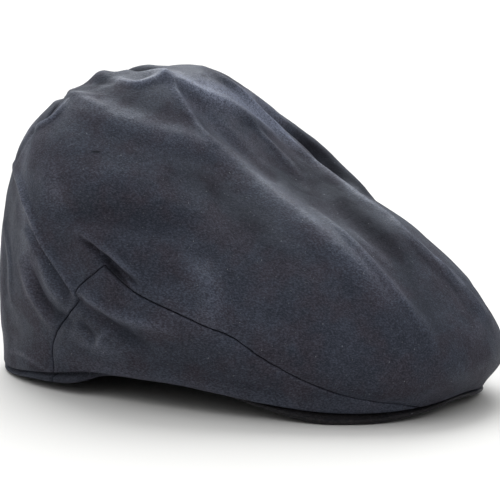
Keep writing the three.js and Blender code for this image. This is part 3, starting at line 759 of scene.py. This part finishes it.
# A side panel from its hem to the seam. side is 1 for the wearer's right and -1 for the left.
def makePanel(name, side):
    columns = panel["columns"]
    start = np.array(panel["columnStart"])
    u = np.append(start, np.linspace(start[-1], 1, columns - len(start) + 1)[1:])[None, :]
    near = np.array(panel["edgeSteps"]) / panel["columnLength"]
    middle = np.linspace(near[-1], 1 - near[-1], panel["rows"] - 2 * len(near) + 2)
    v = np.concatenate([near[:-1], middle, (1 - near[:-1])[::-1]])[:, None]
    foot = sideSeam[0, 0] + (sideSeam[-1, 0] - sideSeam[0, 0]) * u
    headAround, headRise = (np.interp(u, np.linspace(0, 1, len(topSeam)), topSeam[:, k]) for k in (0, 1))
    swellAround, swellRise = (np.interp(v, np.linspace(0, 1, len(backSeam)), backSeam[:, k]) for k in (0, 1))
    fade = (1 - u) ** 3
    first, last = backSeam[0], backSeam[-1]
    around = foot + (headAround - foot) * v + fade * (swellAround - first[0] - (last[0] - first[0]) * v)
    rise = headRise * v + fade * (swellRise - last[1] * v)
    rise = np.maximum(rise, 0)
    rows, columns = around.shape
    outer, normal, crest = clothSurface(side * around.ravel(), rise.ravel())
    outer = outer.reshape(rows, columns, 3)
    normal = normal.reshape(rows, columns, 3)

    # the two seam edges stand back half the seam gap
    backEdge = outer[:, 0]
    topEdge = outer[-1]
    awayFromBack = unit(np.cross(unit(np.gradient(backEdge, axis=0)), normal[:, 0])) * side
    awayFromTop = unit(np.cross(unit(np.gradient(topEdge, axis=0)), normal[-1])) * side
    half = shell["seamGap"] / 2
    backFade = np.clip(1 - np.arange(columns) / panel["gapRows"], 0, 1)
    topFade = np.clip(1 - np.arange(rows)[::-1] / panel["gapRows"], 0, 1)
    moved = outer + awayFromBack[:, None] * half * backFade[None, :, None]
    moved += awayFromTop[None, :] * half * topFade[:, None, None]
    ring = np.vstack([moved[0], moved[1:, -1], moved[-1, ::-1], moved[::-1, 0]])
    depth = rollDepth(nearestOnLine(moved.reshape(-1, 3), ring)).reshape(rows, columns)
    skin = moved - normal * depth[..., None]
    inside = moved - normal * (shell["wall"] - depth)[..., None]
    size = rows * columns
    points = np.vstack([skin.reshape(-1, 3), inside.reshape(-1, 3)])
    faces = gridFaces(rows, columns, flip=side < 0) + gridFaces(rows, columns, start=size, flip=side > 0)
    extra, extraFaces = makeAllowance(side)
    faces += [[corner + len(points) for corner in face] for face in extraFaces]
    alongHem = runLength(moved[0])
    uvGrid = np.stack([np.broadcast_to(alongHem[None, :], around.shape), rise], -1).reshape(-1, 2)
    uv = np.vstack([uvGrid, uvGrid, extra[:, 1:]])
    # crest values, with their painted highlight and painted shade, on the outer skin only
    wearAndPaintedLight = np.concatenate([crest, crest * 0, np.zeros(len(extra))])
    return makeMesh(name, np.vstack([points, extra]), faces, uv, wearAndPaintedLight)


# Pressed-open allowance behind a side seam, hung inside the cloth. It closes the seam to light.
allowance = {
    "reach": 4.5,
    "steps": 6,
    "clearance": 0.3,
    "thickness": 0.7,
    "startRise": 27,
    "endRise": 5,
    "probe": 0.5,  # step for working out how far a degree and a millimetre of rise go
}


def makeAllowance(side):
    count = len(sideSeam)
    first = int(np.argmax(sideSeam[:, 1] > allowance["startRise"]))
    last = count - 1 - int(np.argmax(sideSeam[::-1, 1] > allowance["endRise"]))
    line = sideSeam[first:last + 1:2]
    around, rise = line[:, 0], line[:, 1]
    spots = smoothPoint(around, rise)
    probe = allowance["probe"]
    alongAround = smoothPoint(around + probe, rise) - smoothPoint(around - probe, rise)
    alongRise = smoothPoint(around, rise + probe) - smoothPoint(around, rise - probe)
    across = unit(np.cross(smoothNormal(around, rise), unit(np.gradient(spots, axis=0))))
    a = (across * alongAround).sum(1) / (alongAround**2).sum(1)
    r = (across * alongRise).sum(1) / (alongRise**2).sum(1)
    steps = np.linspace(-allowance["reach"], allowance["reach"], allowance["steps"] + 1)
    grid = np.stack([around[:, None] + a[:, None] * steps, rise[:, None] + r[:, None] * steps], -1)
    skin, normal, crest = clothSurface(side * grid[..., 0].ravel(), grid[..., 1].ravel())
    size = len(skin)
    depth = shell["wall"] + allowance["clearance"]
    upper = skin - normal * depth
    lower = skin - normal * (depth + allowance["thickness"])
    rows, columns = len(line), len(steps)
    faces = gridFaces(rows, columns, flip=side > 0) + gridFaces(rows, columns, start=size, flip=side < 0)
    ring = [r * columns for r in range(rows)] + [(rows - 1) * columns + c for c in range(1, columns)]
    ring += [r * columns + columns - 1 for r in range(rows - 2, -1, -1)] + list(range(columns - 2, 0, -1))
    for k, corner in enumerate(ring):
        after = ring[(k + 1) % len(ring)]
        quad = [corner, after, after + size, corner + size]
        faces.append(quad if side > 0 else quad[::-1])
    return np.vstack([upper, lower]), faces


rightPanel = makePanel("side_cloth_right", 1)
leftPanel = makePanel("side_cloth_left", -1)
print("stage 3: side panels made,", len(rightPanel.data.polygons), "faces each")


def polar(around, radius, z):
    a = np.radians(around)
    return np.stack([-radius * np.sin(a), radius * np.cos(a), z], -1)


band = {
    "frontReach": 97,
    "frontRoundness": 2.1,
    "wall": 2.0,
    "height": 26,
    "segments": 720,
    "rim": 0.8,
    "rimSteps": 5,
    "wallCells": 14,
    "innerFace": (1.2, 1.8),  # depth in the wall where the inner face's creases start
    "innerDraw": 0.3,         # how far that face is drawn in above its foot
    "innerRise": (4, 20),
    "creaseDepth": 0.25,
    "creaseTurns": (31, 7),   # two waves round the band that make its small creases uneven
    "footOut": 3.6,           # the band's turned foot comes out flush with the cloth round the back
    "footFace": (1.2, 0.6),   # depth in the wall over which it comes out
    "footSoft": 0.9,          # height over which its top rounds off
    "footGap": 0.5,           # between the foot and the hem, round the back
    "sideGap": 1.2,           # and more of it in front of the joint
    "footEnd": (76, 90),      # around, where the foot draws in behind the hem
    "jointAround": 68.5,      # a butted joint in the foot on each side
    "jointStep": 2,           # degrees over which the gap widens from there
    "jointWidth": 0.5,
    "jointDepth": 0.9,
    "jointShade": -0.9,
    "rows": {
        "around": [0, 28, 45, 58, 68, 78, 90, 108, 120, 130, 140, 152, 160, 170, 180],
        "z": [0, 0, 1.7, 3.6, 4.4, 6.2, 11.6, 12.4, 10.8, 10.8, 12.4, 14, 16.5, 20.5, 22],
    },
}


def bandRadius(around):
    halfWidth = shell["hemHalfWidth"] - bandInset
    atFront = ovalRadius(around, band["frontReach"], halfWidth, band["frontRoundness"])
    return np.where(np.cos(np.radians(around)) > 0, edgeRadius(around) - bandInset, atFront)


# The band's section with rounded rims, as (outward, upward) from its lower outer corner, going round
def bandSection():
    wall, rim = band["wall"], band["rim"]
    low, high = rim, band["height"] - rim
    between = np.linspace(low, high, band["wallCells"] + 2)[1:-1]

    def rounded(x, z, start):
        angles = np.radians(start + np.linspace(0, 90, band["rimSteps"]))
        return np.stack([x + rim * np.cos(angles), z + rim * np.sin(angles)], -1)

    return np.vstack([
        rounded(-rim, low, 270), np.stack([0 * between, between], -1), rounded(-rim, high, 0),
        rounded(rim - wall, high, 90), np.stack([0 * between - wall, between[::-1]], -1),
        rounded(rim - wall, low, 180),
    ])


def makeBand():
    around = np.arange(band["segments"]) * 360 / band["segments"]
    section = bandSection()
    radius = bandRadius(around)
    low = readColumn(band["rows"], "z", around)
    outward = section[None, :, 0]
    upward = section[None, :, 1]
    short, long = band["creaseTurns"]
    crease = band["creaseDepth"] * np.sin(np.radians(around * short)) * np.sin(np.radians(around * long + 40))
    drawnIn = smoothStep(-outward, *band["innerFace"]) * smoothStep(upward, *band["innerRise"])
    spread = radius[:, None] + outward - drawnIn * (band["innerDraw"] + crease[:, None])
    turned = fromBack(around)
    atBack = 1 - smoothStep(turned, *band["footEnd"])
    pastJoint = smoothStep(turned, band["jointAround"], band["jointAround"] + band["jointStep"])
    gap = band["footGap"] + band["sideGap"] * pastJoint
    footTop = (readColumn(shell["rows"], "edgeZ", around) - low - gap)[:, None]
    footFace = smoothStep(-outward, *band["footFace"])
    foot = footFace * (1 - smoothStep(upward - footTop, -band["footSoft"], 0))
    spread += band["footOut"] * atBack[:, None] * foot
    joint = np.exp(-((turned - band["jointAround"]) / band["jointWidth"]) ** 2)
    spread -= band["jointDepth"] * joint[:, None] * footFace
    points = polar(around[:, None] + outward * 0, spread, low[:, None] + upward)
    rows, columns = points.shape[:2]
    faces = gridFaces(rows, columns, closed=True)
    last = (rows - 1) * columns
    faces += [[last + c, last + (c + 1) % columns, (c + 1) % columns, c] for c in range(columns)]
    girth = runLength(points[:, 0])[:, None]
    uv = np.stack(np.broadcast_arrays(girth, upward), -1)
    dark = band["jointShade"] * np.broadcast_to(joint[:, None], (rows, columns))
    return makeMesh("inner_band", points.reshape(-1, 3), faces, uv.reshape(-1, 2), dark.ravel())


innerBand = makeBand()
print("stage 4: inner band made")

peak = {
    "hornAround": 124,
    "rootGap": 0.5,
    "bow": 1.0,
    "segments": 300,
    "cells": 26,
    "rimCells": 12,
    "rimRounding": 1.6,
    "rows": {
        "around": [124, 132, 140, 147, 153, 160, 170, 180],
        "rimZ": [12, 10, 6.0, 2.2, 0, 0.4, 3.2, 5.4],
        "rootZ": [12.5, 12, 12.4, 13.2, 14.2, 16.5, 20.5, 22],
        "overhang": [-5, -4, -2.6, 0.6, 2.4, 1.4, -0.9, -2.6],
        "thickness": [1.0, 1.3, 2.0, 2.7, 2.8, 2.6, 2.1, 1.9],
    },
}


def makePeak():
    around = np.linspace(peak["hornAround"], 360 - peak["hornAround"], peak["segments"] + 1)
    read = readTable(peak["rows"], around)
    root = bandRadius(around) + peak["rootGap"]
    rim = edgeRadius(around) + read["overhang"]
    thick = read["thickness"]
    rounding = np.minimum(thick / 2, peak["rimRounding"])

    def flatRow(share, lift):
        z = read["rootZ"] + (read["rimZ"] - read["rootZ"]) * share + peak["bow"] * 4 * share * (1 - share)
        return polar(around, root + (rim - rounding - root) * share, z + lift)

    def rimRow(a):
        z = read["rimZ"] + thick * (1 + math.sin(a)) / 2
        return polar(around, rim - rounding + rounding * math.cos(a), z)

    out = np.linspace(0, 1, peak["cells"] + 1)[:-1]
    arc = np.linspace(math.pi / 2, -math.pi / 2, peak["rimCells"] + 1)
    upper = [flatRow(share, thick) for share in out]
    lower = [flatRow(share, 0) for share in out[::-1]]
    points = np.stack(upper + [rimRow(a) for a in arc] + lower, 1)
    rows, count = points.shape[:2]
    faces = gridFaces(rows, count, closed=True, flip=True)
    faces += [list(range(count)), list(range((rows - 1) * count, rows * count))[::-1]]
    girth = runLength(points[:, len(out)])[:, None]
    across = runLength(points[rows // 2])[None, :]
    uv = np.stack(np.broadcast_arrays(girth, across), -1)
    return makeMesh("peak_board", points.reshape(-1, 3), faces, uv.reshape(-1, 2), np.zeros(rows * count))


peakBoard = makePeak()
print("stage 5: peak made")

# Colours of wax and cloth, and where each piece's finish differs
wax = {
    "navy": (0.0325, 0.0352, 0.0490),
    "brown": (0.0415, 0.0342, 0.0435),
    "dark": (0.0035, 0.0034, 0.0045),
    # bloom is the pale colour of wax bloom, also used for painted highlights on crests and bands
    "bloom": (0.21, 0.228, 0.30),
    "specular": 0.22,
    "specularTint": (0.7, 0.8, 1),
    "sheenRoughness": 0.4,
    "sheenTint": (0.45, 0.55, 0.85),
}
finishes = {
    "waxedNavyCotton": {
        "Main": wax["navy"], "Patch": wax["brown"], "Dark": wax["dark"], "Bloom": wax["bloom"],
        "Rub And Highlight Amount": 0.17, "Pitch": 0.00045, "Base Roughness": 0.64, "Weave Height": 0.00006,
        "sheen": 0.03,
    },
    "waxedPeakBinding": {
        "Main": (0.015, 0.0125, 0.0115), "Patch": (0.019, 0.0145, 0.0125), "Dark": (0.004, 0.004, 0.004),
        "Bloom": (0.2, 0.17, 0.16), "Rub And Highlight Amount": 0.12, "Pitch": 0.00045, "Base Roughness": 0.6,
        "Weave Height": 0.00006, "sheen": 0.1,
    },
    "bandTwill": {
        "Main": (0.022, 0.024, 0.033), "Patch": (0.026, 0.025, 0.03), "Dark": (0.012, 0.012, 0.015),
        "Bloom": wax["bloom"], "Rub And Highlight Amount": 0.13, "Pitch": 0.0006, "Base Roughness": 0.7,
        "Weave Height": 0.0001, "sheen": 0.1,
    },
}

# How the wax and the weave vary over every cloth. Scales are per metre and heights in metres.
weave = {
    "drawn": (1, 0.45, 1),   # mottling and grain are longer along the thread
    "patches": (48, 3, 0.6, 0.4, 0.62),  # a noise's scale, detail, roughness, and the ends of its ramp
    "mottle": (240, 5, 0.75, 0.3, 0.7),
    "grain": (1500, 3, 0.75, 0.3, 0.7),
    "bloom": (60, 3, 0.6, 0.5, 0.8),
    "slub": (1000, 3, 0.75),
    "dimple": (170, 3, 0.6),
    "mottleShare": 0.4,
    "bloomShare": 0.075,     # pale bloom where nothing has rubbed
    "hollowShare": 0.45,     # dark between the threads
    "threadTopShare": 0.15,
    "shadeLimit": 0.9,
    "lint": [(150.0, 0.66, 0.045, 0.08), (62.0, 0.72, 0.018, 0.16)],  # scale, share left out, size, tone
    "slubHeight": 0.00042,
    "dimpleHeight": 0.0006,
    "bumpStrength": 0.7,
    "patchShine": 0.16,
    "wearShine": 0.18,
    "shadeDullness": 0.3,
    # thin streaks between two places, mm from the crown's axis: a dark thread caught in the wax, a scratch
    "streaks": [
        {"from": (-76.9, 11.6, 120.7), "to": (-74.6, 5.1, 120.6), "halfWidth": 0.8,
         "tone": (0.003, 0.003, 0.004), "strength": 0.98},
        {"from": (-78.3, 25.8, 121.7), "to": (-75.4, 19.9, 124.8), "halfWidth": 0.5,
         "tone": (0.12, 0.125, 0.16), "strength": 0.4},
    ],
    "streakCore": 0.4,       # share of a streak's width at full strength
    "streakDepth": 6,        # how deep a streak reaches through the cloth, mm
}


def addNode(tree, kind, inputs=None, **settings):
    node = tree.nodes.new(kind)
    for name, value in settings.items():
        setattr(node, name, value)
    for name, value in (inputs or {}).items():
        node.inputs[name].default_value = value
    return node


def softRamp(tree, factor, low, high):
    limits = {"From Min": low, "From Max": high}
    node = addNode(tree, "ShaderNodeMapRange", limits, interpolation_type="SMOOTHSTEP")
    tree.links.new(factor, node.inputs["Value"])
    return node.outputs["Result"]


def mixColour(tree, factor, first, second):
    node = tree.nodes.new("ShaderNodeMix")
    node.data_type = "RGBA"
    tree.links.new(factor, node.inputs["Factor"])
    for socket, value in ((node.inputs["A"], first), (node.inputs["B"], second)):
        if isinstance(value, tuple):
            socket.default_value = (*value, 1)
        else:
            tree.links.new(value, socket)
    return node.outputs["Result"]


# One Math node. first and second are numbers or sockets.
def mathNode(tree, operation, first, second=0.0):
    node = addNode(tree, "ShaderNodeMath", operation=operation)
    for socket, value in zip(node.inputs, (first, second)):
        if isinstance(value, (int, float)):
            socket.default_value = value
        else:
            tree.links.new(value, socket)
    return node.outputs["Value"]


# Distance from a streak's middle, 1 at its edge
def streakDistance(tree, place, streak):
    start, end = (np.array(streak[key]) + (axisX, axisY, 0) for key in ("from", "to"))
    middle = (start + end) / 2
    along = unit(end - start)
    across = unit(np.cross(middle - (axisX, axisY, shell["crownRadius"]), along))
    turn = Matrix((along, across, np.cross(along, across))).transposed()
    size = np.array((np.linalg.norm(end - start) / 2, streak["halfWidth"], weave["streakDepth"]))
    lie = {"Location": middle * mm, "Rotation": turn.to_euler(), "Scale": size * mm}
    turned = addNode(tree, "ShaderNodeMapping", lie, vector_type="TEXTURE")
    tree.links.new(place, turned.inputs["Vector"])
    length = addNode(tree, "ShaderNodeVectorMath", operation="LENGTH")
    tree.links.new(turned.outputs["Vector"], length.inputs[0])
    return length.outputs["Value"]


groupInputs = {
    "NodeSocketColor": ("Main", "Patch", "Dark", "Bloom"),
    "NodeSocketFloat": ("Rub And Highlight Amount", "Pitch", "Base Roughness", "Weave Height"),
}
groupOutputs = {
    "NodeSocketColor": ("Color",),
    "NodeSocketFloat": ("Roughness",),
    "NodeSocketVector": ("Normal",),
}


# Shared effect: fine woven cotton under wax. Puts out a colour, a roughness and a normal.
def waxedWeaveGroup():
    group = bpy.data.node_groups.new("waxedWeave", "ShaderNodeTree")
    for direction, sockets in (("INPUT", groupInputs), ("OUTPUT", groupOutputs)):
        for kind, names in sockets.items():
            for name in names:
                group.interface.new_socket(name, in_out=direction, socket_type=kind)
    given = group.nodes.new("NodeGroupInput").outputs
    made = group.nodes.new("NodeGroupOutput").inputs
    link = group.links.new
    place = group.nodes.new("ShaderNodeTexCoord").outputs["Object"]
    uv = addNode(group, "ShaderNodeUVMap", uv_map="clothUv").outputs["UV"]

    def join(operation, first, second=0.0):
        return mathNode(group, operation, first, second)

    def times(first, second):
        return mathNode(group, "MULTIPLY", first, second)

    def noiseAt(name, vector=place):
        settings = dict(zip(("Scale", "Detail", "Roughness"), weave[name]))
        node = addNode(group, "ShaderNodeTexNoise", settings)
        link(vector, node.inputs["Vector"])
        ends = weave[name][3:]
        return softRamp(group, node.outputs["Fac"], *ends) if ends else node.outputs["Fac"]

    # broad wax patches, small mottling and fine grain drawn out along the thread
    stretch = addNode(group, "ShaderNodeVectorMath", operation="MULTIPLY")
    link(place, stretch.inputs[0])
    stretch.inputs[1].default_value = weave["drawn"]
    drawn = stretch.outputs["Vector"]
    patches = noiseAt("patches")
    mottle = noiseAt("mottle", drawn)
    grain = noiseAt("grain", drawn)
    colour = mixColour(group, patches, given["Main"], given["Patch"])
    colour = mixColour(group, times(mottle, weave["mottleShare"]), colour, given["Dark"])

    # crests are paler where the crest attribute is above 0, as rubbed wax and painted highlight, and hollows
    # take painted shade where it is below
    crestWearAndPaintedLight = addNode(group, "ShaderNodeAttribute", attribute_name="crest").outputs["Fac"]
    wearAndPaintedLight = join("MAXIMUM", crestWearAndPaintedLight)
    shade = join("MINIMUM", join("MAXIMUM", times(crestWearAndPaintedLight, -1.0)), weave["shadeLimit"])
    rubAndHighlight = times(times(wearAndPaintedLight, given["Rub And Highlight Amount"]), join("ADD", 0.5, grain))
    pale = join("ADD", rubAndHighlight, times(noiseAt("bloom"), weave["bloomShare"]))
    colour = mixColour(group, pale, colour, given["Bloom"])
    hollows = times(join("SUBTRACT", 1.0, grain), weave["hollowShare"])
    colour = mixColour(group, hollows, colour, given["Dark"])
    threadTops = times(join("POWER", grain, 2.0), weave["threadTopShare"])
    colour = mixColour(group, threadTops, colour, given["Bloom"])
    # painted shade: deep hollows and shaded places go towards the dark colour
    colour = mixColour(group, shade, colour, given["Dark"])

    # lint: pale specks, many tiny ones and a few larger
    for scale, leftOut, size, tone in weave["lint"]:
        spread = {"Scale": scale, "Randomness": 1.0}
        cells = addNode(group, "ShaderNodeTexVoronoi", spread, voronoi_dimensions="2D")
        link(uv, cells.inputs["Vector"])
        split = group.nodes.new("ShaderNodeSeparateColor")
        link(cells.outputs["Color"], split.inputs[0])
        chosen = join("GREATER_THAN", split.outputs["Red"], leftOut)
        speck = times(chosen, join("LESS_THAN", cells.outputs["Distance"], size))
        colour = mixColour(group, speck, colour, (tone, tone, tone * 1.1))
    for streak in weave["streaks"]:
        mark = softRamp(group, streakDistance(group, place, streak), 1.0, weave["streakCore"])
        colour = mixColour(group, times(mark, streak["strength"]), colour, streak["tone"])
    link(colour, made["Color"])

    # plain weave: threads over and under, as two crossed waves along the cloth
    split = group.nodes.new("ShaderNodeSeparateXYZ")
    link(uv, split.inputs[0])
    turns = [join("DIVIDE", split.outputs[axis], given["Pitch"]) for axis in "XY"]
    over, under = (join("SINE", times(turn, math.pi)) for turn in turns)
    threads = times(times(over, under), given["Weave Height"])
    slub = times(noiseAt("slub"), weave["slubHeight"])
    dimple = times(noiseAt("dimple"), weave["dimpleHeight"])
    bump = addNode(group, "ShaderNodeBump", {"Strength": weave["bumpStrength"], "Distance": 1.0})
    link(join("ADD", join("ADD", threads, slub), dimple), bump.inputs["Height"])
    link(bump.outputs["Normal"], made["Normal"])

    shine = times(join("SUBTRACT", patches, 0.5), weave["patchShine"])
    rough = join("ADD", given["Base Roughness"], shine)
    rough = join("SUBTRACT", rough, times(join("MINIMUM", wearAndPaintedLight, 1.0), weave["wearShine"]))
    link(join("ADD", rough, times(shade, weave["shadeDullness"])), made["Roughness"])
    return group


weaveGroup = waxedWeaveGroup()


def waxedMaterial(name):
    material = bpy.data.materials.new(name)
    material.use_nodes = True
    tree = material.node_tree
    tree.nodes.clear()
    finish = finishes[name]
    cloth = tree.nodes.new("ShaderNodeGroup")
    cloth.node_tree = weaveGroup
    for socket in groupInputs["NodeSocketColor"]:
        cloth.inputs[socket].default_value = (*finish[socket], 1)
    for socket in groupInputs["NodeSocketFloat"]:
        cloth.inputs[socket].default_value = finish[socket]
    shader = tree.nodes.new("ShaderNodeBsdfPrincipled")
    shader.inputs["Specular IOR Level"].default_value = wax["specular"]
    shader.inputs["Specular Tint"].default_value = (*wax["specularTint"], 1)
    shader.inputs["Sheen Weight"].default_value = finish["sheen"]
    shader.inputs["Sheen Roughness"].default_value = wax["sheenRoughness"]
    shader.inputs["Sheen Tint"].default_value = (*wax["sheenTint"], 1)
    output = tree.nodes.new("ShaderNodeOutputMaterial")
    tree.links.new(cloth.outputs["Color"], shader.inputs["Base Color"])
    tree.links.new(cloth.outputs["Roughness"], shader.inputs["Roughness"])
    tree.links.new(cloth.outputs["Normal"], shader.inputs["Normal"])
    tree.links.new(shader.outputs["BSDF"], output.inputs["Surface"])
    return material


clothMaterial = waxedMaterial("waxedNavyCotton")
peakMaterial = waxedMaterial("waxedPeakBinding")
bandMaterial = waxedMaterial("bandTwill")

for piece, node, slotName, material in (
    (crownCloth, "crown_top", "waxed_cloth", clothMaterial),
    (rightPanel, "side_panel_right", "waxed_cloth", clothMaterial),
    (leftPanel, "side_panel_left", "waxed_cloth", clothMaterial),
    (peakBoard, "peak", "peak_cloth", peakMaterial),
    (innerBand, "sweatband", "band_cloth", bandMaterial),
):
    piece.data.materials.append(material)
    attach(piece, "root")
    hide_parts(node)
print("stage 6: materials set")


def makeCamera():
    back = Vector(towardsCamera())
    target = (Vector(photo["target"]) + Vector((axisX, axisY, 0))) * mm
    data = bpy.data.cameras.new("photoCamera")
    data.sensor_width = photo["sensor"]
    data.lens = photo["focalPixels"] * photo["sensor"] / photo["frameWidth"]
    data.shift_x = -(photo["centreX"] - photo["frameWidth"] / 2) / photo["frameWidth"]
    data.clip_end = 50
    camera = bpy.data.objects.new("photoCamera", data)
    bpy.context.scene.collection.objects.link(camera)
    camera.location = target + back * photo["distance"] * mm
    camera.rotation_euler = (-back).to_track_quat("-Z", "Y").to_euler()
    bpy.context.scene.camera = camera


light = {
    "skyBase": 0.04,     # radiance at the horizon
    "skyTop": 1.2,       # and more of it overhead
    "skyGlow": 0.3,      # and behind the cap
    "glowFrom": (0.4, 0.7, 0.6),
    "colour": (0.94, 0.97, 1.0),
    "keyFrom": (0.50, 0.46, 0.73),
    "keyStrength": 2.6,
    "keySpread": 46,     # degrees
    "floorColour": (0.79, 0.765, 0.73),
    "floorSize": 16,     # metres
    "floorRoughness": 0.9,
    "floorSpecular": 0.1,
}


def makeKeyLight():
    comesFrom = Vector(light["keyFrom"])
    data = bpy.data.lights.new("keyLight", "SUN")
    data.energy = light["keyStrength"]
    data.color = light["colour"]
    data.angle = math.radians(light["keySpread"])
    lamp = bpy.data.objects.new("keyLight", data)
    bpy.context.scene.collection.objects.link(lamp)
    lamp.location = comesFrom * 2
    lamp.rotation_euler = (-comesFrom).to_track_quat("-Z", "Y").to_euler()


def makeStudio():
    bpy.ops.mesh.primitive_plane_add(size=light["floorSize"], location=(0, 0, 0))
    floor = bpy.context.active_object
    floor.name = "studio_floor"
    white = bpy.data.materials.new("paleFloor")
    white.use_nodes = True
    shader = white.node_tree.nodes["Principled BSDF"]
    shader.inputs["Base Color"].default_value = (*light["floorColour"], 1)
    shader.inputs["Roughness"].default_value = light["floorRoughness"]
    shader.inputs["Specular IOR Level"].default_value = light["floorSpecular"]
    floor.data.materials.append(white)

    # a sky that is brighter above and behind the cap
    world = bpy.data.worlds.new("studioWhite")
    world.use_nodes = True
    tree = world.node_tree
    place = tree.nodes.new("ShaderNodeTexCoord").outputs["Generated"]
    facing = addNode(tree, "ShaderNodeVectorMath", operation="DOT_PRODUCT")
    tree.links.new(place, facing.inputs[0])
    facing.inputs[1].default_value = Vector(light["glowFrom"]).normalized()
    glow = mathNode(tree, "POWER", mathNode(tree, "MAXIMUM", facing.outputs["Value"], 0.0), 2.0)
    glow = mathNode(tree, "ADD", mathNode(tree, "MULTIPLY", glow, light["skyGlow"]), light["skyBase"])
    split = tree.nodes.new("ShaderNodeSeparateXYZ")
    tree.links.new(place, split.inputs[0])
    above = mathNode(tree, "MULTIPLY", mathNode(tree, "MAXIMUM", split.outputs["Z"], 0.0), light["skyTop"])
    glow = mathNode(tree, "ADD", glow, above)
    tree.links.new(glow, tree.nodes["Background"].inputs["Strength"])
    tree.nodes["Background"].inputs["Color"].default_value = (*light["colour"], 1)
    bpy.context.scene.world = world
    makeKeyLight()
    bpy.context.scene.view_settings.view_transform = "Standard"


makeCamera()
makeStudio()
print("stage 7: studio set")
